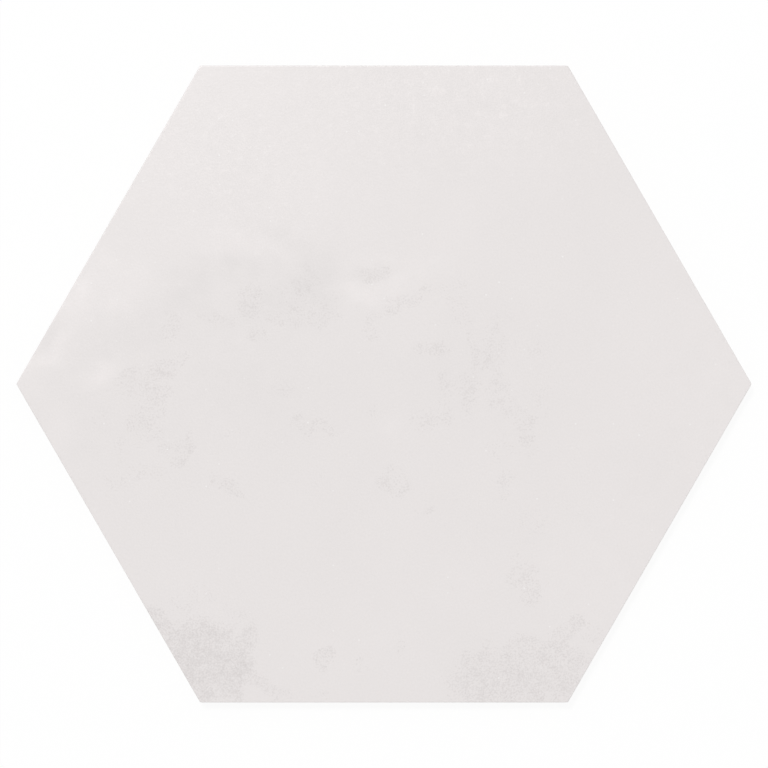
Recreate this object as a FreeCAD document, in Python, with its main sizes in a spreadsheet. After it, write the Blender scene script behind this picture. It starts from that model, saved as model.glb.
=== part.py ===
import FreeCAD, Part

import enum
import math
import os

import Sketcher

# Hexagon floor tile: a plate of porcelain, pressed, glazed and fired in one piece.
# The face is plain. The back has a keying relief of shallow hexagonal cells that the mortar grips.
# Frame: +Z points out of the glazed face, +X runs through a corner, and the origin is the middle of the back.

# Driving dimensions in millimetres, and the draft in degrees
SIZES = [
    ("across_flats", 250.0, "from one edge to the opposite edge"),
    ("thickness", 9.0, "from the back to the glazed face"),
    ("corner_radius", 0.6, "rounding of the six corners, seen from above"),
    ("face_arris", 0.3, "rounding of the edge round the glazed face"),
    ("back_bevel", 1.2, "bevel of the edge round the back"),
    ("back_border", 8.0, "least plain width between the relief and the bevel"),
    ("cell_pitch", 23.5, "from one cell's centre to the next"),
    ("cell_rib", 3.0, "width of the rib left between two cells"),
    ("cell_depth", 0.8, "depth of a cell"),
    ("cell_draft", 30.0, "slope of a cell's walls away from the upright, which frees the press"),
]

# A regular hexagon's corners lie on a circle whose radius is its width across flats over the root of 3
TILE_CIRCLE = "Sizes.across_flats / sqrt(3)"
CELL_CIRCLE = "(Sizes.cell_pitch - Sizes.cell_rib) / sqrt(3)"

# The rows of cells lie this far apart, and as many whole rings as the border leaves room for fill the back
ROW_STEP = "Sizes.cell_pitch * sqrt(3) / 2"
RELIEF_REACH = f"Sizes.across_flats / 2 - Sizes.back_bevel - Sizes.back_border - {CELL_CIRCLE}"
RINGS = f"floor(({RELIEF_REACH}) / ({ROW_STEP}))"

SIDES = 6
SIXTH_TURN = 60
SECTORS = 3
MM3_IN_CM3 = 1000

# Directions of a hexagon's first corner, in degrees: the tile's points along X, and a cell's across it
ALONG_X, ACROSS_X = 0, 90

# How a sketch's constraints name its X axis and its origin, which is the start of that axis
X_AXIS = -1


class Point(enum.IntEnum):
    """How a sketch's constraints name a point of a line or a circle."""

    START = 1
    END = 2
    CENTRE = 3


def make_sheet(doc):
    """The spreadsheet of driving dimensions, each with its meaning beside it."""
    sheet = doc.addObject("Spreadsheet::Sheet", "Sizes")
    for row, (alias, value, meaning) in enumerate(SIZES, start=1):
        sheet.set(f"A{row}", alias)
        sheet.set(f"B{row}", str(value))
        sheet.set(f"C{row}", meaning)
        sheet.setAlias(f"B{row}", alias)
    doc.recompute()
    return sheet


def origin_feature(body, role):
    """The body's own origin plane or axis of that role."""
    for feature in body.Origin.OriginFeatures:
        if feature.Role == role:
            return feature
    raise ValueError(f"the body has no {role}")


def add_sketch(body, name):
    """An empty sketch on the plane of the back."""
    sketch = body.newObject("Sketcher::SketchObject", name)
    sketch.AttachmentSupport = (origin_feature(body, "XY_Plane"), [""])
    sketch.MapMode = "FlatFace"
    return sketch


def draw_hexagon(sketch, centre_x, across_flats, first_angle, circle_size):
    """Draws a regular hexagon about a point on the X axis and returns the index of its corners' circle.

    The first corner is at first_angle, and circle_size ties the circle to the sheet."""
    radius = across_flats / math.sqrt(3)
    centre = FreeCAD.Vector(centre_x, 0, 0)
    upwards = FreeCAD.Vector(0, 0, 1)
    corners = []
    for index in range(SIDES):
        turn = FreeCAD.Rotation(upwards, first_angle + index * SIXTH_TURN)
        corners.append(centre + turn.multVec(FreeCAD.Vector(radius, 0, 0)))
    for index in range(SIDES):
        sketch.addGeometry(Part.LineSegment(corners[index], corners[(index + 1) % SIDES]), False)
    circle = sketch.addGeometry(Part.Circle(centre, upwards, radius), True)
    for index in range(SIDES):
        following = (index + 1) % SIDES
        sketch.addConstraint(Sketcher.Constraint("Coincident", index, Point.END, following, Point.START))
        sketch.addConstraint(Sketcher.Constraint("PointOnObject", index, Point.START, circle))
        if index:
            sketch.addConstraint(Sketcher.Constraint("Equal", 0, index))
    add_dimension(sketch, "corner_circle", "Radius", (circle,), radius, circle_size)
    return circle


def add_dimension(sketch, name, kind, references, value, expression):
    """A named dimension that starts at a value and follows the sheet."""
    index = sketch.addConstraint(Sketcher.Constraint(kind, *references, value))
    sketch.renameConstraint(index, name)
    sketch.setExpression(f"Constraints.{name}", expression)


def face_name(shape, choose):
    """Name of the shape's lowest face, where choose is min, or of its highest, where it is max."""
    heights = [face.CenterOfMass.z for face in shape.Faces]
    return f"Face{heights.index(choose(heights)) + 1}"


def rising_edges(shape):
    """Names of the edges with one end above the other, as the corners' edges have."""
    names = []
    for number, edge in enumerate(shape.Edges, start=1):
        first, last = edge.Vertexes
        if abs(last.Z - first.Z) > edge.Tolerance:
            names.append(f"Edge{number}")
    return names


def dress_edges(body, kind, name, base, elements, property_name, expression):
    """Rounds or bevels the named edges of base, or all the edges of a named face."""
    feature = body.newObject(kind, name)
    feature.Base = (base, elements)
    feature.setExpression(property_name, expression)
    body.Document.recompute()
    return feature


def add_plate(body, sheet):
    """The plain plate, with its corners on the X axis, its back edge bevelled and the others rounded.

    Returns the outline sketch and the last feature."""
    outline = add_sketch(body, "Outline")
    circle = draw_hexagon(outline, 0, sheet.across_flats, ALONG_X, TILE_CIRCLE)
    outline.addConstraint(Sketcher.Constraint("Coincident", circle, Point.CENTRE, X_AXIS, Point.START))
    outline.addConstraint(Sketcher.Constraint("PointOnObject", 0, Point.START, X_AXIS))
    body.Document.recompute()

    plate = body.newObject("PartDesign::Pad", "Plate")
    plate.Profile = outline
    plate.setExpression("Length", "Sizes.thickness")
    body.Document.recompute()

    bevel, rounding = "PartDesign::Chamfer", "PartDesign::Fillet"
    back = [face_name(plate.Shape, min)]
    bevelled = dress_edges(body, bevel, "BackBevel", plate, back, "Size", "Sizes.back_bevel")
    upright = rising_edges(bevelled.Shape)
    rounded = dress_edges(body, rounding, "Corners", bevelled, upright, "Radius", "Sizes.corner_radius")
    face = [face_name(rounded.Shape, max)]
    finished = dress_edges(body, rounding, "FaceArris", rounded, face, "Radius", "Sizes.face_arris")
    return outline, finished


def add_pattern(body, kind, name, reference, settings):
    """One step of the relief's pattern, with each of its settings tied to the sheet."""
    pattern = body.newObject(kind, name)
    if kind == "PartDesign::PolarPattern":
        pattern.Axis = reference
    else:
        pattern.Direction = reference
        pattern.Mode = "Spacing"
    for property_name, expression in settings.items():
        pattern.setExpression(property_name, expression)
    return pattern


def check_cut(before, after):
    """Stops if the later feature took nothing away."""
    if after.Shape.Volume >= before.Shape.Volume:
        raise ValueError(f"{after.Name} cuts nothing")


def add_relief(body, sheet, outline, plate):
    """The keying relief: one drafted cell next to the middle, repeated in whole rings with ribs between them.

    A sector of rings by rings + 1 cells, turned three times, fills the hexagon. The middle stays plain."""
    cell_outline = add_sketch(body, "CellOutline")
    across = sheet.cell_pitch - sheet.cell_rib
    circle = draw_hexagon(cell_outline, sheet.cell_pitch, across, ACROSS_X, CELL_CIRCLE)
    cell_outline.addConstraint(Sketcher.Constraint("PointOnObject", circle, Point.CENTRE, X_AXIS))
    cell_outline.addConstraint(Sketcher.Constraint("Vertical", 0, Point.START, circle, Point.CENTRE))
    reach = (X_AXIS, Point.START, circle, Point.CENTRE)
    add_dimension(cell_outline, "first_centre", "DistanceX", reach, sheet.cell_pitch, "Sizes.cell_pitch")
    body.Document.recompute()

    cell = body.newObject("PartDesign::Pocket", "Cell")
    cell.Profile = cell_outline
    cell.Reversed = True
    cell.setExpression("Length", "Sizes.cell_depth")
    cell.setExpression("TaperAngle", "-Sizes.cell_draft")
    body.Document.recompute()
    check_cut(plate, cell)

    relief = body.newObject("PartDesign::MultiTransform", "Relief")
    relief.Originals = [cell]
    along_x = (origin_feature(body, "X_Axis"), [""])
    along_side = (outline, ["Edge1"])
    upright = (origin_feature(body, "Z_Axis"), [""])
    linear = "PartDesign::LinearPattern"
    outwards = {"Offset": "Sizes.cell_pitch", "Occurrences": RINGS}
    sideways = {"Offset": "Sizes.cell_pitch", "Occurrences": f"{RINGS} + 1"}
    relief.Transformations = [
        add_pattern(body, linear, "CellsOutwards", along_x, outwards),
        add_pattern(body, linear, "CellsSideways", along_side, sideways),
        add_pattern(body, "PartDesign::PolarPattern", "Sectors", upright, {"Occurrences": str(SECTORS)}),
    ]
    body.Tip = relief
    body.Document.recompute()
    check_cut(cell, relief)


def check_document(doc):
    """Stops if any object failed."""
    for item in doc.Objects:
        if "Invalid" in item.State or "Error" in item.State:
            raise ValueError(f"{item.Name} failed: {item.State}")


def export_part(body):
    """Writes the body's solid to the file that carries its name."""
    shape = body.Shape
    if shape.isNull() or not shape.isValid() or len(shape.Solids) != 1:
        raise ValueError(f"{body.Label} is not one valid solid")
    os.makedirs("parts", exist_ok=True)
    shape.exportStep(f"parts/{body.Label}.step")
    print(f"{body.Label}: {shape.Volume / MM3_IN_CM3:.1f} cm3, {len(shape.Faces)} faces")


def build_tile():
    """The whole document: its sheet and the tile's one body."""
    doc = FreeCAD.newDocument("hexagon_tile")
    sheet = make_sheet(doc)
    tile = doc.addObject("PartDesign::Body", "Tile")
    tile.Label = "hexagon_tile"
    tile.Placement = FreeCAD.Placement()
    doc.recompute()
    outline, plate = add_plate(tile, sheet)
    add_relief(tile, sheet, outline, plate)
    check_document(doc)
    export_part(tile)


build_tile()
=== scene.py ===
"""A hexagon floor tile of glazed porcelain, lying face up on a white floor and seen from straight above."""

import math

import bmesh
import bpy
from mathutils import Matrix, Vector, noise


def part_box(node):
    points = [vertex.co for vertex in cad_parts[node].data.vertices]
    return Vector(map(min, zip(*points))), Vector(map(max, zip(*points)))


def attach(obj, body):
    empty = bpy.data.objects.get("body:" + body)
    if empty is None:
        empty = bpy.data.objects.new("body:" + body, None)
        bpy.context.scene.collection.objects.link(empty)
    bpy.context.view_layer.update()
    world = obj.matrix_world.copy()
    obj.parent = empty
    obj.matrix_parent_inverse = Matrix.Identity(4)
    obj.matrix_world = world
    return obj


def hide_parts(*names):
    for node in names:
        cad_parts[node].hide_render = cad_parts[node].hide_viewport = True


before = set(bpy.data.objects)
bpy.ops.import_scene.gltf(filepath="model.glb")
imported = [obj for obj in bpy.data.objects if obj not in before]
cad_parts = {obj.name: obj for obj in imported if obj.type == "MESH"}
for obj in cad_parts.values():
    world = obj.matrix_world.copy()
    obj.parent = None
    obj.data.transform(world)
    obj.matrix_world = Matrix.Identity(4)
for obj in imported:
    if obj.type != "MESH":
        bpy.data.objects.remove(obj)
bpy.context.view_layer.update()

# Sizes are in metres, unless a name or a comment says otherwise. The overall ones come from the frame
MM = 0.001
TILE_LOW, TILE_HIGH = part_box("hexagon_tile")
ACROSS_FLATS = TILE_HIGH.y - TILE_LOW.y
THICKNESS = TILE_HIGH.z
SIDES = 6
ROOT_3 = math.sqrt(3)

# Faces that meet at a sharper turn than this stay apart in the shading
SHARP_TURN = math.radians(35)

# Heights and insets that differ by less than this count as the same
CLOSE = 0.01 * MM

# The glaze rolls over the face's edge and ends in an uneven line a little way down the side
FACE_ARRIS = 0.3 * MM
ARRIS_STEPS = 4
FACE_MARGIN = 0.2 * MM
GLAZE_LAP = 1.6 * MM
LAP_WANDER = 0.4 * MM
LAP_WANDER_LENGTH = 7 * MM
BACK_BEVEL = 1.2 * MM
CORNER_RADIUS = 0.6 * MM

# The keying relief on the back: drafted cells in rings, with ribs between them, as the press leaves them
CELL_PITCH = 23.5 * MM
CELL_RIB = 3.0 * MM
CELL_DEPTH = 0.8 * MM
CELL_DRAFT = math.radians(30)
CELL_RINGS = 5
CELL_CORNER = 1.2 * MM
CELL_EASING = 0.25 * MM

# How far in and how deep a cell's brim steps, and how high its foot starts, as shares of the easing
BRIM_STEPS = [(1, 0.4), (1.6, 1.3)]
FOOT_RISE = 0.3

# The face is a fine triangular grid. Its waves stay under the tile's full thickness
FACE_CUTS = 127
FACE_DROP = 0.1 * MM
SWELL_HEIGHT = 0.03 * MM
SWELL_LENGTH = 34 * MM
RIPPLE_HEIGHT = 0.008 * MM
RIPPLE_LENGTH = 9 * MM
POOL_HEIGHT = 0.025 * MM
LEVEL_RIM = 4 * MM

# Where the glaze pooled thick and milky, or ran thin, and where its sheen is painted into the colour, in
# millimetres
# from the middle of the face: across, up, half length, half width, turn in degrees, and 1 for thickest to
# -1 for thinnest.
# The smaller marks paint the sheen: highlights of the sheen on the glaze's waves where bright, and shade on
# their far flanks where dark. The broad ones make the tone lighter or darker over wide areas
POOLS_AND_PAINTED_SHEEN = [
    (-119.5, 35.0, 15.0, 7.0, 60, 0.6),
    (-105.0, 31.8, 6.0, 5.0, 0, 0.5),
    (-97.7, 40.8, 6.5, 5.5, 0, 0.28),
    (-107.0, 47.5, 7.0, 6.0, 0, 0.2),
    (-85.9, 38.0, 9.0, 8.0, 0, 0.2),
    (-133.0, 11.0, 13.0, 3.6, 38, 0.62),
    (-111.0, 3.6, 8.5, 3.6, 30, 0.56),
    (-127.6, -16.9, 6.5, 8.0, 0, 0.38),
    (-136.9, -3.5, 5.0, 4.0, 0, 0.2),
    (-62.8, 36.9, 6.0, 6.0, 0, 0.25),
    (-15.0, 37.5, 5.0, 3.8, -30, 0.36),
    (-7.5, 34.5, 7.5, 3.8, 0, 0.46),
    (1.5, 38.0, 6.0, 3.2, 20, 0.42),
    (-13.3, 47.1, 5.5, 3.2, 10, 0.22),
    (-1.6, 49.4, 6.0, 2.8, 0, 0.24),
    (14.1, 45.7, 11.0, 5.0, 22, 0.26),
    (-46.7, 53.5, 14.0, 5.0, -20, 0.24),
    (-62.0, 56.5, 9.0, 8.0, 0, 0.2),
    (27.0, 58.0, 12.0, 8.0, 30, 0.1),
    (18.0, 117.0, 5.0, 4.5, 0, 0.15),
    (41.6, 121.0, 5.0, 4.5, 0, 0.15),
    (3.1, -16.9, 5.0, 4.0, 0, 0.2),
    (-104.7, 17.3, 13.0, 8.0, 10, -0.3),
    (-131.8, 19.2, 6.0, 4.0, 60, -0.35),
    (-58.4, 46.7, 13.0, 5.0, 10, -0.35),
    (-40.0, 57.5, 12.0, 2.8, -20, -0.35),
    (-25.0, 43.0, 11.0, 9.0, 0, -0.45),
    (-2.4, 42.8, 7.0, 3.5, 0, -0.24),
    (-60.0, 5.0, 40.0, 28.0, 0, -0.16),
    (20.0, 0.0, 50.0, 30.0, 0, -0.1),
    (-46.0, 34.0, 34.0, 14.0, 0, -0.29),
    (-78.0, 39.0, 16.0, 10.0, 25, -0.34),
    (-122.0, -16.0, 26.0, 28.0, 0, -0.2),
    (-18.0, 72.0, 26.0, 16.0, 0, 0.06),
    (45.0, 85.0, 35.0, 30.0, 0, -0.08),
    (140.0, -8.0, 42.0, 74.0, 0, 0.25),
    (20.0, -85.0, 75.0, 28.0, 0, 0.08),
    (84.0, -78.0, 30.0, 30.0, 60, 0.16),
    (-85.0, 98.0, 40.0, 34.0, 0, 0.09),
    (-25.0, -112.0, 30.0, 16.0, 0, 0.1),
    (-72.0, -2.0, 34.0, 26.0, 0, -0.1),
    (38.0, 4.0, 20.0, 26.0, 0, -0.1),
]

# Patches of specks under the glaze, in millimetres from the middle of the face:
# across, up, half length, half width, turn in degrees, and how thickly they lie
SPECK_PATCHES = [
    (-51.5, 32.5, 6.5, 9.0, -10, 0.95),
    (-31.0, 40.0, 6.0, 7.0, 0, 0.85),
    (-30.0, 33.0, 15.0, 9.0, 0, 0.66),
    (-31.0, 26.8, 17.0, 4.0, 0, 0.85),
    (-50.0, 18.8, 5.0, 4.5, 0, 0.75),
    (-4.5, 43.0, 8.5, 4.2, 5, 0.84),
    (3.5, 31.5, 7.0, 4.5, 25, 0.9),
    (12.0, 34.5, 10.0, 3.4, 22, 0.78),
    (-5.3, 23.5, 4.8, 7.8, 0, 0.82),
    (17.5, 14.0, 9.5, 4.6, 0, 0.92),
    (34.8, 12.5, 3.5, 9.0, 0, 0.82),
    (33.0, -3.5, 6.0, 11.0, 0, 0.82),
    (43.5, 14.0, 6.2, 12.5, 0, 0.82),
    (45.5, -3.0, 6.4, 9.5, 0, 0.76),
    (24.3, -2.0, 3.6, 9.0, -8, 0.84),
    (19.8, -13.8, 9.6, 5.2, 5, 0.78),
    (49.0, -11.4, 5.0, 3.6, 0, 0.84),
    (56.4, -18.2, 5.4, 11.0, 5, 0.82),
    (46.0, -26.0, 6.0, 7.5, 0, 0.58),
    (48.2, -39.6, 4.0, 8.0, 0, 0.75),
    (59.6, -53.3, 10.0, 7.0, 0, 0.55),
    (50.2, -73.5, 3.8, 8.5, 0, 0.8),
    (57.0, -79.5, 5.2, 11.0, 5, 0.84),
    (3.1, -39.2, 8.5, 6.0, -15, 0.9),
    (16.1, -49.0, 5.5, 2.2, 25, 0.85),
    (-62.0, -39.2, 7.8, 4.6, -28, 0.88),
    (-83.0, -27.0, 7.2, 7.2, 0, 0.82),
    (-77.5, -26.0, 3.5, 7.0, -20, 0.92),
    (-89.0, -1.0, 6.0, 11.0, 5, 0.98),
    (-83.5, 7.0, 7.5, 5.0, 15, 0.92),
    (-97.5, 0.0, 9.0, 8.5, 0, 0.82),
    (-94.0, -16.0, 9.5, 10.0, -10, 0.76),
    (-104.0, -26.0, 4.5, 5.5, 0, 0.62),
    (-110.0, -15.0, 4.5, 4.5, 0, 0.6),
    (-98.0, -36.5, 12.0, 4.6, 12, 0.68),
    (-84.0, 22.0, 4.5, 7.5, -25, 0.86),
    (-66.0, 25.1, 10.0, 4.6, -5, 0.8),
    (-26.5, -17.0, 10.0, 3.4, -12, 0.85),
    (-40.4, -1.6, 6.0, 5.0, 0, 0.66),
    (-58.0, -19.0, 4.5, 3.0, 15, 0.65),
    (-4.8, -11.8, 4.0, 3.4, 0, 0.8),
    (-26.4, -38.3, 5.5, 2.0, 25, 0.7),
    (-23.5, -108.6, 3.4, 5.2, 0, 0.96),
    (6.7, -103.5, 3.4, 5.0, 0, 0.75),
    (-9.8, -111.4, 5.0, 3.5, 20, 0.66),
    (-23.1, -121.2, 3.5, 3.5, 0, 0.7),
    (-77.0, -84.7, 10.0, 7.0, 30, 0.6),
    (-57.3, -91.8, 7.0, 6.0, 0, 0.65),
    (27.8, 36.0, 9.0, 5.0, 0, 0.6),
    (29.6, 27.9, 4.0, 8.0, 0, 0.66),
    (61.2, 13.3, 5.5, 5.5, 0, 0.56),
    (62.0, -3.0, 5.0, 12.0, 0, 0.52),
]

# Where specks crowd into dusky clouds, at the two lower corners, given in the same way
DUSKY_CLOUDS = [
    (-73.0, -109.0, 20.0, 18.5, -8, 1.3),
    (-60.0, -112.0, 10.0, 14.0, 0, 1.25),
    (-88.5, -92.5, 9.0, 4.4, -60, 1.2),
    (-82.0, -101.0, 9.0, 7.0, -55, 1.2),
    (-55.0, -100.0, 5.0, 6.0, 0, 1.1),
    (-49.5, -116.0, 8.5, 4.8, -35, 1.0),
    (-42.0, -121.0, 8.0, 4.0, -25, 0.75),
    (46.0, -117.0, 24.5, 15.5, 0, 1.05),
    (66.0, -112.0, 17.0, 14.5, 0, 1.05),
    (57.0, -108.0, 15.0, 10.5, 0, 1.0),
    (71.5, -96.5, 10.0, 4.4, 40, 0.92),
    (81.0, -97.0, 6.0, 6.0, 0, 0.66),
]

# Where painted glints and highlights of the sheen on the glaze's pebbling lie, towards the top and the
# upper left, given in the same way
SHEEN_GLINT_AREAS = [
    (25.0, 112.0, 85.0, 30.0, 0, 1.0),
    (-62.0, 90.0, 50.0, 34.0, -35, 0.9),
    (-112.0, 25.0, 30.0, 24.0, 0, 0.4),
]

# A mark fades by this power of the squared distance: pools, painted sheen and painted glints end softly,
# and patches of specks sharply. It is felt no further off than this many times its larger half size
SOFT_EDGE = 1
SHARP_EDGE = 3.5
MARK_REACH = 3

# How far in millimetres the outlines wander, and over what length. They wander upwards by another part of
# the noise than across
POOL_WANDER = 3
PATCH_WANDER = 3.5
NO_WANDER = 0
WANDER_LENGTH = 6 * MM
ELSEWHERE = Vector((31.4, 27.2, 16.1))

# Sizes of the patterns in the two finishes, in millimetres
WISP_SIZE = 7
RAGGED_SIZE = 3.4
SPECK_SIZE = 0.65
PINHOLE_SPACING = 5
FILL_SIZE = 12
GRIT_SIZE = 0.5
STREAK_SIZE = 4

# Colours of the glaze where it is thin and where it is thick, and of its marks. The thick end also carries
# the painted highlights and glints of the sheen, and the thin end the painted shade on the flanks of the
# glaze's waves
THIN_GLAZE_AND_SHADE = "DEDAD9"
THICK_GLAZE_AND_SHEEN = "EEE9E8"
SPECK_GREY = "D2CDCC"
PINHOLE_AND_GLINT_WHITE = "F3F1F0"

# Colours of the bare body, of its grit and of the kiln wash on its lands
BODY_PALE = "D8D2C9"
BODY_DARK = "CEC8BE"
GRIT_BROWN = "BDB5A9"
WASH_WHITE = "E6E3DD"

# A satin glaze, its dull rim and the bare body. The index of refraction is a usual one for both
GLAZE_ROUGHNESS = 0.26
RIM_ROUGHNESS = 0.7
BODY_ROUGHNESS = 0.85
PORCELAIN_IOR = 1.5
GRIT_HEIGHT = 0.06 * MM

# Sockets of a colour mix, which go by number because several have one name: share, two colours and result
SHARE, FIRST, SECOND, MIXED = 0, 6, 7, 2


def srgb(code):
    """A colour written as six sRGB hex digits, made linear, with an alpha of 1."""
    linear = []
    for start in (0, 2, 4):
        level = int(code[start : start + 2], 16) / 255
        linear.append(level / 12.92 if level <= 0.04045 else ((level + 0.055) / 1.055) ** 2.4)
    return (*linear, 1)


def add_node(tree, kind, sockets, **settings):
    """Adds a node with its settings and fills its sockets, given by name or number, or else in order.

    Each gets a plain value or a link from an output, and a node given there stands for its first output."""
    node = tree.nodes.new(kind)
    for name, value in settings.items():
        setattr(node, name, value)
    for socket, value in sockets.items() if isinstance(sockets, dict) else enumerate(sockets):
        if isinstance(value, bpy.types.Node):
            value = value.outputs[0]
        if isinstance(value, bpy.types.NodeSocket):
            tree.links.new(value, node.inputs[socket])
        else:
            node.inputs[socket].default_value = value
    return node


def new_material(name):
    """An empty material and its node tree."""
    material = bpy.data.materials.new(name)
    material.use_nodes = True
    material.node_tree.nodes.clear()
    return material, material.node_tree


def in_millimetres(tree):
    """The piece's own coordinates in millimetres, so that a pattern's scale is one over its real size."""
    place = add_node(tree, "ShaderNodeTexCoord", {}).outputs["Object"]
    return add_node(tree, "ShaderNodeMapping", {"Vector": place, "Scale": (1 / MM, 1 / MM, 1 / MM)})


def felt(x, y, mark, edge):
    """How strongly a mark of the lists above is felt at a place in millimetres."""
    across, up, length, width, turn, strength = mark
    east, north = x - across, y - up
    reach = MARK_REACH * max(length, width)
    if abs(east) > reach or abs(north) > reach:
        return 0
    angle = math.radians(turn)
    along = (east * math.cos(angle) + north * math.sin(angle)) / length
    aside = (north * math.cos(angle) - east * math.sin(angle)) / width
    return strength * math.exp(-((along * along + aside * aside) ** edge))


def from_side(place):
    """How far inside the tile's nearest side a place is."""
    sides = [Vector((0, 1)), Vector((ROOT_3 / 2, 0.5)), Vector((ROOT_3 / 2, -0.5))]
    return ACROSS_FLATS / 2 - max(abs(place.xy.dot(side)) for side in sides)


def rim_edges(mesh, height):
    """The mesh's open edges at that height."""
    return [
        edge
        for edge in mesh.edges
        if edge.is_boundary and all(abs(vert.co.z - height) < CLOSE for vert in edge.verts)
    ]


def round_corners(rim, inset):
    """Puts a rim's six corners at the middle of the arc that rounds them."""
    corner = (ACROSS_FLATS / 2 - inset) * 2 / ROOT_3
    pull = max(CORNER_RADIUS - inset, 0) * (2 / ROOT_3 - 1)
    for vert in sorted(rim, key=lambda vert: vert.co.xy.length)[-SIDES:]:
        vert.co.xy = vert.co.xy.normalized() * (corner - pull)


def add_ring(mesh, rim, inset, height):
    """Draws the open rim on to a ring at another height, with its sides that far inside the tile's."""
    grown = bmesh.ops.extrude_edge_only(mesh, edges=rim)["geom"]
    verts = [item for item in grown if isinstance(item, bmesh.types.BMVert)]
    fresh = set(verts)
    edges = [
        item for item in grown if isinstance(item, bmesh.types.BMEdge) and fresh.issuperset(item.verts)
    ]
    factor = (ACROSS_FLATS / 2 - inset) / max(vert.co.y for vert in verts)
    bmesh.ops.scale(mesh, vec=(factor, factor, 1), verts=verts)
    bmesh.ops.translate(mesh, vec=(0, 0, height - verts[0].co.z), verts=verts)
    return verts, edges


def add_sides(mesh):
    """The rounded edge, the side and the bevel, ring by ring from the face's rim down to the back's.

    The ring after those of the rounded edge is the line where the glaze ends."""
    top = THICKNESS - FACE_DROP
    rings = []
    for step in range(ARRIS_STEPS + 1):
        angle = math.radians(90) * step / ARRIS_STEPS
        rings.append((FACE_ARRIS * (1 - math.sin(angle)), top - FACE_ARRIS * (1 - math.cos(angle))))
    rings += [(0, THICKNESS - GLAZE_LAP), (0, BACK_BEVEL), (BACK_BEVEL, 0)]
    rim = rim_edges(mesh, top)
    rows = []
    for inset, height in rings:
        verts, rim = add_ring(mesh, rim, inset, height)
        round_corners(verts, inset)
        rows.append(verts)
    for vert in rows[ARRIS_STEPS + 1]:
        vert.co.z += LAP_WANDER * noise.noise(vert.co / LAP_WANDER_LENGTH)


def shape_glaze(mesh):
    """Raises and lowers the face: a slow swell, fine ripples and the glaze's pools, level at the rim."""
    top = THICKNESS - FACE_DROP
    for vert in mesh.verts:
        if vert.co.z < top - CLOSE:
            continue
        x, y = vert.co.x / MM, vert.co.y / MM
        height = SWELL_HEIGHT * noise.noise(vert.co / SWELL_LENGTH)
        height += RIPPLE_HEIGHT * noise.noise(vert.co / RIPPLE_LENGTH)
        height += POOL_HEIGHT * sum(felt(x, y, pool, SOFT_EDGE) for pool in POOLS_AND_PAINTED_SHEEN)
        share = min(max((from_side(vert.co) - FACE_ARRIS - FACE_MARGIN) / LEVEL_RIM, 0), 1)
        height *= share * share * (3 - 2 * share)
        vert.co.z = min(top + height, THICKNESS)


def cell_places():
    """The middles of the cells, ring by ring round the plain middle."""
    along = Vector((CELL_PITCH, 0))
    aslant = Vector((CELL_PITCH / 2, CELL_PITCH * ROOT_3 / 2))
    for first in range(-CELL_RINGS, CELL_RINGS + 1):
        for second in range(-CELL_RINGS, CELL_RINGS + 1):
            if abs(first + second) <= CELL_RINGS and (first, second) != (0, 0):
                yield along * first + aslant * second


def add_cell(mesh, place):
    """One drafted cell of the keying relief, open to the back, with its corners and edges eased.

    Its wall goes in and down step by step, over the brim and the draft to the foot and the cell's floor."""
    across = CELL_PITCH - CELL_RIB
    spot = Matrix.Translation((place.x, place.y, 0))
    mouth = bmesh.ops.create_circle(
        mesh, cap_ends=True, segments=SIDES, radius=across / ROOT_3, matrix=spot
    )
    eased = bmesh.ops.bevel(
        mesh,
        geom=mouth["verts"],
        affect="VERTICES",
        offset=CELL_CORNER,
        segments=2,
        profile=0.5,
        material=-1,
    )
    face = eased["verts"][0].link_faces[0]
    draft = math.tan(CELL_DRAFT)
    steps = [(CELL_EASING * inset, CELL_EASING * height) for inset, height in BRIM_STEPS]
    steps.append((CELL_DEPTH * draft, CELL_DEPTH - CELL_EASING * FOOT_RISE))
    steps.append((CELL_DEPTH * draft + CELL_EASING, CELL_DEPTH))
    width, depth = across, 0
    for inset, height in steps:
        face = bmesh.ops.extrude_discrete_faces(mesh, faces=[face])["faces"][0]
        factor = (across - 2 * inset) / width
        bmesh.ops.scale(mesh, vec=(factor, factor, 1), space=spot.inverted(), verts=face.verts)
        bmesh.ops.translate(mesh, vec=(0, 0, height - depth), verts=face.verts)
        width, depth = across - 2 * inset, height


def build_tile_mesh():
    """The whole tile as one closed shell: face, edges, side, bevel and back.

    A new hexagon has a corner at the top, as a cell has, and the face is turned to have one on +X."""
    mesh = bmesh.new()
    for place in cell_places():
        add_cell(mesh, place)
    turned = Matrix.Rotation(math.radians(30), 4, "Z")
    face = bmesh.ops.create_circle(
        mesh,
        cap_ends=True,
        cap_tris=True,
        segments=SIDES,
        radius=(ACROSS_FLATS - 2 * FACE_ARRIS - 2 * FACE_MARGIN) / ROOT_3,
        matrix=Matrix.Translation((0, 0, THICKNESS - FACE_DROP)) @ turned,
    )
    spokes = list({edge for vert in face["verts"] for edge in vert.link_edges})
    bmesh.ops.subdivide_edges(mesh, edges=spokes, cuts=FACE_CUTS, use_grid_fill=True)
    shape_glaze(mesh)
    add_sides(mesh)
    bmesh.ops.triangle_fill(mesh, use_beauty=False, use_dissolve=False, edges=rim_edges(mesh, 0))
    bmesh.ops.recalc_face_normals(mesh, faces=mesh.faces[:])

    # The glaze is the first finish, and the bare body under its line is the second
    for face in mesh.faces:
        face.smooth = True
        face.material_index = int(face.calc_center_median().z < THICKNESS - GLAZE_LAP)
    for edge in mesh.edges:
        edge.smooth = edge.calc_face_angle() < SHARP_TURN
    return mesh


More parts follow.
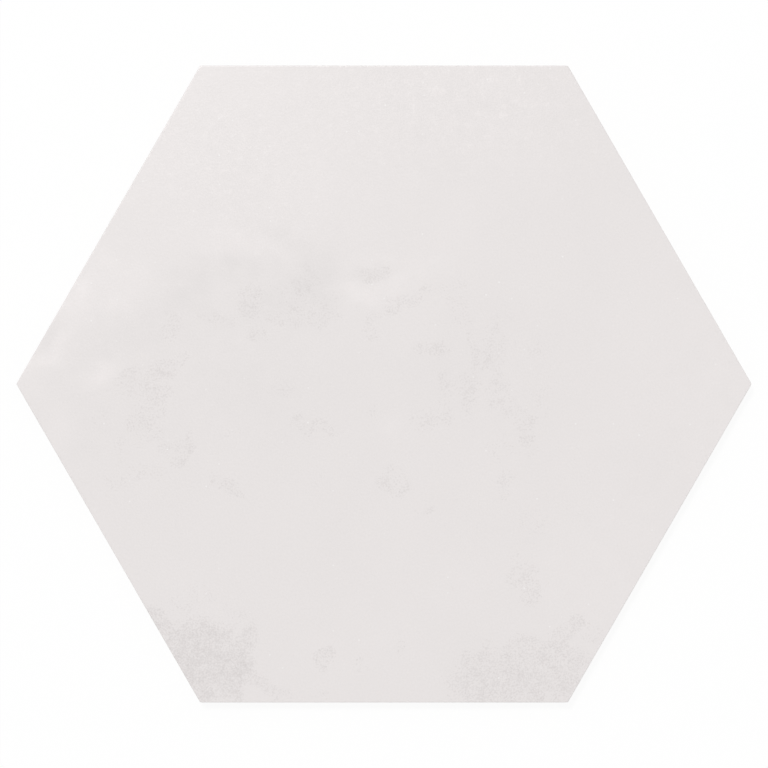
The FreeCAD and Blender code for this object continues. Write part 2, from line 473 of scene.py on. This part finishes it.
def store_marks(data, name, marks, edge, wander, gather):
    """Keeps how strongly a list of marks is felt at each point of the mesh, for the glaze to read.

    Each point is looked up some millimetres aside, so that the outlines of the marks wander."""
    layer = data.attributes.new(name, "FLOAT", "POINT")
    for index, vert in enumerate(data.vertices):
        place = vert.co / WANDER_LENGTH
        x = vert.co.x / MM + wander * noise.noise(place)
        y = vert.co.y / MM + wander * noise.noise(place + ELSEWHERE)
        layer.data[index].value = gather(felt(x, y, mark, edge) for mark in marks)


def store_rim(data):
    """Marks what lies outside the flat of the face, where the glaze is thin."""
    layer = data.attributes.new("rim", "FLOAT", "POINT")
    for index, vert in enumerate(data.vertices):
        layer.data[index].value = float(from_side(vert.co) < FACE_ARRIS - CLOSE)


def glazed_porcelain():
    """Porcelain under a fired satin glaze.

    It gives a pale, faintly warm white with a soft wide sheen, milky where the glaze pooled, with the
    sheen's highlights, its glints and shade on the glaze's waves painted into the colour, loose grey-brown
    specks, pale pinholes, dusky clouds at two corners and a sprayed glaze's fine pebbling."""
    material, tree = new_material("glazed_porcelain")
    place = in_millimetres(tree)
    marks = {}
    for name in ("sheen_and_pooling", "specks", "sheen_glints", "rim"):
        marks[name] = add_node(tree, "ShaderNodeAttribute", {}, attribute_name=name).outputs["Fac"]

    # The tone: thick glaze is milky and thin glaze a little duller, unevenly, in wisps. The same marks also
    # paint the sheen's highlights, and shade on the far flanks of the glaze's waves, into the colour
    wisps = add_node(tree, "ShaderNodeTexNoise", {"Vector": place, "Scale": 1 / WISP_SIZE, "Detail": 2.0})
    wisps = add_node(tree, "ShaderNodeMapRange", (wisps, 0.25, 0.75, 0.25, 0.75))
    tone = add_node(tree, "ShaderNodeMath", (marks["sheen_and_pooling"], wisps), operation="MULTIPLY")

    # Lumps that make it lighter or darker: their size in millimetres, detail and roughness, where in the
    # pattern's range they start, the least and the most that they add, and where they lie. Clouds and grain
    # are everywhere. Stipple, fine dots and milky flakes lie towards the top and the upper left, as painted
    # glints and painted highlights of the sheen on the glaze's pebbling. The fine dots and the grain are
    # finer on a real tile, and are drawn this coarse so that they show
    layers = [
        (30, 2.0, 0.5, 0.25, 0.47, 0.57, 1.0),
        (0.8, 2.0, 0.5, 0.25, -0.11, 0.11, 1.0),
        (4, 5.0, 0.5, 0.25, -0.11, 0.09, marks["sheen_glints"]),
        (0.45, 0.0, 0.5, 0.25, -0.2, 0.2, marks["sheen_glints"]),
        (4.5, 4.0, 0.85, 0.54, 0.0, 0.55, marks["sheen_glints"]),
    ]
    for size, detail, roughness, start, least, most, share in layers:
        sockets = {"Vector": place, "Scale": 1 / size, "Detail": detail, "Roughness": roughness}
        lumps = add_node(tree, "ShaderNodeTexNoise", sockets)
        lumps = add_node(tree, "ShaderNodeMapRange", (lumps, start, 0.75, least, most))
        tone = add_node(tree, "ShaderNodeMath", (lumps, share, tone), operation="MULTIPLY_ADD")
    sockets = {SHARE: tone, FIRST: srgb(THIN_GLAZE_AND_SHADE), SECOND: srgb(THICK_GLAZE_AND_SHEEN)}
    colour = add_node(tree, "ShaderNodeMix", sockets, data_type="RGBA").outputs[MIXED]

    # Specks under the glaze, in ragged patches. They grow dense and merge where they crowd
    sockets = {"Vector": place, "Scale": 1 / RAGGED_SIZE, "Detail": 3.0}
    ragged = add_node(tree, "ShaderNodeTexNoise", sockets)
    ragged = add_node(tree, "ShaderNodeMapRange", (ragged, 0.3, 0.7, -0.4, 0.1))
    crowding = add_node(tree, "ShaderNodeMath", (marks["specks"], ragged), operation="ADD")
    limit = add_node(tree, "ShaderNodeMapRange", (crowding, 0.1, 1.5, 0.7, 0.14))
    flecks = add_node(tree, "ShaderNodeTexNoise", {"Vector": place, "Scale": 1 / SPECK_SIZE, "Detail": 1.0})
    excess = add_node(tree, "ShaderNodeMath", (flecks, limit), operation="SUBTRACT")
    speck = add_node(tree, "ShaderNodeMapRange", (excess, 0.0, 0.6, 0.0, 1.0))
    sockets = {SHARE: speck, FIRST: colour, SECOND: srgb(SPECK_GREY)}
    colour = add_node(tree, "ShaderNodeMix", sockets, data_type="RGBA").outputs[MIXED]

    # Pinholes: pale pricks half a millimetre across, each in a space of its own. One space in 20 has one,
    # and one in 6 towards the top and the upper left, where the extra pricks are painted glints of the
    # sheen
    sockets = {"Vector": place, "Scale": 1 / PINHOLE_SPACING}
    pricks = add_node(tree, "ShaderNodeTexVoronoi", sockets, voronoi_dimensions="2D")
    chance = add_node(tree, "ShaderNodeSeparateColor", {"Color": pricks.outputs["Color"]}).outputs
    share = add_node(tree, "ShaderNodeMapRange", (marks["sheen_glints"], 0.0, 1.0, 0.05, 0.16))
    kept = add_node(tree, "ShaderNodeMath", (chance["Red"], share), operation="LESS_THAN")
    prick = add_node(tree, "ShaderNodeMapRange", (pricks.outputs["Distance"], 0.03, 0.08, 1.0, 0.0))
    prick = add_node(tree, "ShaderNodeMath", (prick, chance["Green"]), operation="MULTIPLY")
    prick = add_node(tree, "ShaderNodeMath", (prick, kept), operation="MULTIPLY")
    sockets = {SHARE: prick, FIRST: colour, SECOND: srgb(PINHOLE_AND_GLINT_WHITE)}
    colour = add_node(tree, "ShaderNodeMix", sockets, data_type="RGBA").outputs[MIXED]

    # Pebbling of the sprayed glaze, coarse and fine: size in millimetres, detail and height in millimetres
    slope = add_node(tree, "ShaderNodeNewGeometry", {}).outputs["Normal"]
    for size, detail, height in ((2.6, 2.0, 0.02), (0.8, 1.0, 0.025)):
        waves = add_node(tree, "ShaderNodeTexNoise", {"Vector": place, "Scale": 1 / size, "Detail": detail})
        sockets = {"Height": waves, "Strength": 1.0, "Distance": height * MM, "Normal": slope}
        slope = add_node(tree, "ShaderNodeBump", sockets)

    # The glaze draws back from the sharp edge and fires dull there
    rough = add_node(tree, "ShaderNodeMapRange", (marks["rim"], 0.0, 0.5, GLAZE_ROUGHNESS, RIM_ROUGHNESS))
    sockets = {"Base Color": colour, "Roughness": rough, "IOR": PORCELAIN_IOR, "Normal": slope}
    shader = add_node(tree, "ShaderNodeBsdfPrincipled", sockets)
    add_node(tree, "ShaderNodeOutputMaterial", {"Surface": shader})
    return material


def fired_body():
    """The tile's unglazed body, dry-pressed and fired.

    It gives a matt grey-beige with fine grit, and the lands of the back are chalky from the kiln wash."""
    material, tree = new_material("fired_porcelain_body")
    place = in_millimetres(tree)

    # The powder's uneven fill, and brownish grit
    fill = add_node(tree, "ShaderNodeTexNoise", {"Vector": place, "Scale": 1 / FILL_SIZE, "Detail": 3.0})
    sockets = {SHARE: fill, FIRST: srgb(BODY_PALE), SECOND: srgb(BODY_DARK)}
    colour = add_node(tree, "ShaderNodeMix", sockets, data_type="RGBA").outputs[MIXED]
    grit = add_node(tree, "ShaderNodeTexNoise", {"Vector": place, "Scale": 1 / GRIT_SIZE, "Detail": 3.0})
    grains = add_node(tree, "ShaderNodeMapRange", (grit, 0.5, 0.72, 0.0, 0.8))
    sockets = {SHARE: grains, FIRST: colour, SECOND: srgb(GRIT_BROWN)}
    colour = add_node(tree, "ShaderNodeMix", sockets, data_type="RGBA").outputs[MIXED]

    # Kiln wash: chalky streaks on whatever touched the rollers, and none in the cells. They are eight times
    # as long as they are wide, and fade out 0.15 mm up
    height = add_node(tree, "ShaderNodeSeparateXYZ", {"Vector": place}).outputs["Z"]
    land = add_node(tree, "ShaderNodeMapRange", (height, 0.0, 0.15, 1.0, 0.0))
    rolled = add_node(tree, "ShaderNodeMapping", {"Vector": place, "Scale": (1 / 8, 1, 1)})
    sockets = {"Vector": rolled, "Scale": 1 / STREAK_SIZE, "Detail": 4.0}
    streaks = add_node(tree, "ShaderNodeTexNoise", sockets)
    streaks = add_node(tree, "ShaderNodeMapRange", (streaks, 0.35, 0.65, 0.15, 0.8))
    wash = add_node(tree, "ShaderNodeMath", (land, streaks), operation="MULTIPLY")
    sockets = {SHARE: wash, FIRST: colour, SECOND: srgb(WASH_WHITE)}
    colour = add_node(tree, "ShaderNodeMix", sockets, data_type="RGBA").outputs[MIXED]

    # The grit also stands out of the surface
    bump = add_node(tree, "ShaderNodeBump", {"Height": grit, "Strength": 1.0, "Distance": GRIT_HEIGHT})
    sockets = {"Base Color": colour, "Roughness": BODY_ROUGHNESS, "IOR": PORCELAIN_IOR, "Normal": bump}
    shader = add_node(tree, "ShaderNodeBsdfPrincipled", sockets)
    add_node(tree, "ShaderNodeOutputMaterial", {"Surface": shader})
    return material


def make_tile():
    """The tile as one piece, with its marks and its two finishes."""
    mesh = build_tile_mesh()
    data = bpy.data.meshes.new("glazed_tile")
    mesh.to_mesh(data)
    mesh.free()
    # The next mark holds the glaze's pools together with the painted highlights and shade of its sheen
    store_marks(data, "sheen_and_pooling", POOLS_AND_PAINTED_SHEEN, SOFT_EDGE, POOL_WANDER, sum)
    store_marks(data, "specks", SPECK_PATCHES + DUSKY_CLOUDS, SHARP_EDGE, PATCH_WANDER, max)
    # The next mark holds the painted glints and highlights of the sheen towards the top and the upper left
    store_marks(data, "sheen_glints", SHEEN_GLINT_AREAS, SOFT_EDGE, NO_WANDER, max)
    store_rim(data)
    data.materials.append(glazed_porcelain())
    data.materials.append(fired_body())
    piece = bpy.data.objects.new("glazed_tile", data)
    bpy.context.scene.collection.objects.link(piece)
    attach(piece, "root")
    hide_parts("hexagon_tile")


# The photograph's frame is this wide at the tile's face
FRAME_WIDTH = 301.4 * MM
LENS_MM = 200
SENSOR_MM = 36

# The lamp stands off to the upper left, and gives about two fifths of the light
LAMP_DISTANCE = 5.0
LAMP_SIZE = 0.75
LAMP_FROM_UPRIGHT = math.radians(21)
LAMP_BEARING = math.radians(118)
LAMP_WATTS = 98

# The even light that falls on the tile from all round, where 1 shows as white
WORLD_LIGHT = 0.62

# The floor lies a hair under the back, so that the two don't fight for one plane. Its greater share is seen
# as plain white light, and the rest as lit paper, which keeps the tile's shadow
FLOOR_SIZE = 6.0
FLOOR_GAP = 0.02 * MM
FLOOR_WHITE = "FCFCFC"
FLOOR_GLOW = 0.92


def add_camera():
    """A long lens straight above the tile, with the top of the picture towards +Y."""
    data = bpy.data.cameras.new("camera")
    data.lens = LENS_MM
    data.sensor_width = SENSOR_MM
    camera = bpy.data.objects.new("camera", data)
    camera.location = (0, 0, THICKNESS + FRAME_WIDTH * LENS_MM / SENSOR_MM)
    bpy.context.scene.collection.objects.link(camera)
    bpy.context.scene.camera = camera


def add_lamp():
    """One soft studio lamp aimed at the middle of the face."""
    data = bpy.data.lights.new("lamp", "AREA")
    data.shape = "SQUARE"
    data.size = LAMP_SIZE
    data.energy = LAMP_WATTS
    lamp = bpy.data.objects.new("lamp", data)
    aside = math.sin(LAMP_FROM_UPRIGHT)
    across, up = aside * math.cos(LAMP_BEARING), aside * math.sin(LAMP_BEARING)
    towards = Vector((across, up, math.cos(LAMP_FROM_UPRIGHT)))
    lamp.location = towards * LAMP_DISTANCE
    lamp.rotation_euler = towards.to_track_quat("Z", "Y").to_euler()
    bpy.context.scene.collection.objects.link(lamp)


def seen_directly(tree):
    """1 for rays from the camera and those sent on by a glossy or clear surface, and 0 for the others."""
    path = add_node(tree, "ShaderNodeLightPath", {}).outputs
    glossy, clear = path["Is Glossy Ray"], path["Is Transmission Ray"]
    either = add_node(tree, "ShaderNodeMath", (path["Is Camera Ray"], glossy), operation="MAXIMUM")
    return add_node(tree, "ShaderNodeMath", (either, clear), operation="MAXIMUM")


def add_world():
    """Even white light from all round, which shows as plain white."""
    world = bpy.data.worlds.new("studio")
    world.use_nodes = True
    tree = world.node_tree
    tree.nodes.clear()
    strength = add_node(tree, "ShaderNodeMapRange", (seen_directly(tree), 0.0, 1.0, WORLD_LIGHT, 1.0))
    sky = add_node(tree, "ShaderNodeBackground", {"Color": (1, 1, 1, 1), "Strength": strength})
    add_node(tree, "ShaderNodeOutputWorld", {"Surface": sky})
    bpy.context.scene.world = world


def add_floor():
    """A plain white floor that shows as white paper does, with a faint shadow where the tile lies on it."""
    material, tree = new_material("white_floor")
    paper = add_node(tree, "ShaderNodeBsdfDiffuse", {"Color": srgb(FLOOR_WHITE)})
    glow = add_node(tree, "ShaderNodeEmission", {"Color": (1, 1, 1, 1), "Strength": 1.0})
    share = add_node(tree, "ShaderNodeMath", (seen_directly(tree), FLOOR_GLOW), operation="MULTIPLY")
    mixed = add_node(tree, "ShaderNodeMixShader", (share, paper, glow))
    add_node(tree, "ShaderNodeOutputMaterial", {"Surface": mixed})
    mesh = bmesh.new()
    level = Matrix.Translation((0, 0, -FLOOR_GAP))
    bmesh.ops.create_grid(mesh, x_segments=1, y_segments=1, size=FLOOR_SIZE / 2, matrix=level)
    data = bpy.data.meshes.new("floor")
    mesh.to_mesh(data)
    mesh.free()
    data.materials.append(material)
    floor = bpy.data.objects.new("floor", data)
    bpy.context.scene.collection.objects.link(floor)


add_camera()
add_lamp()
add_world()
add_floor()
make_tile()
bpy.context.scene.view_settings.view_transform = "Standard"
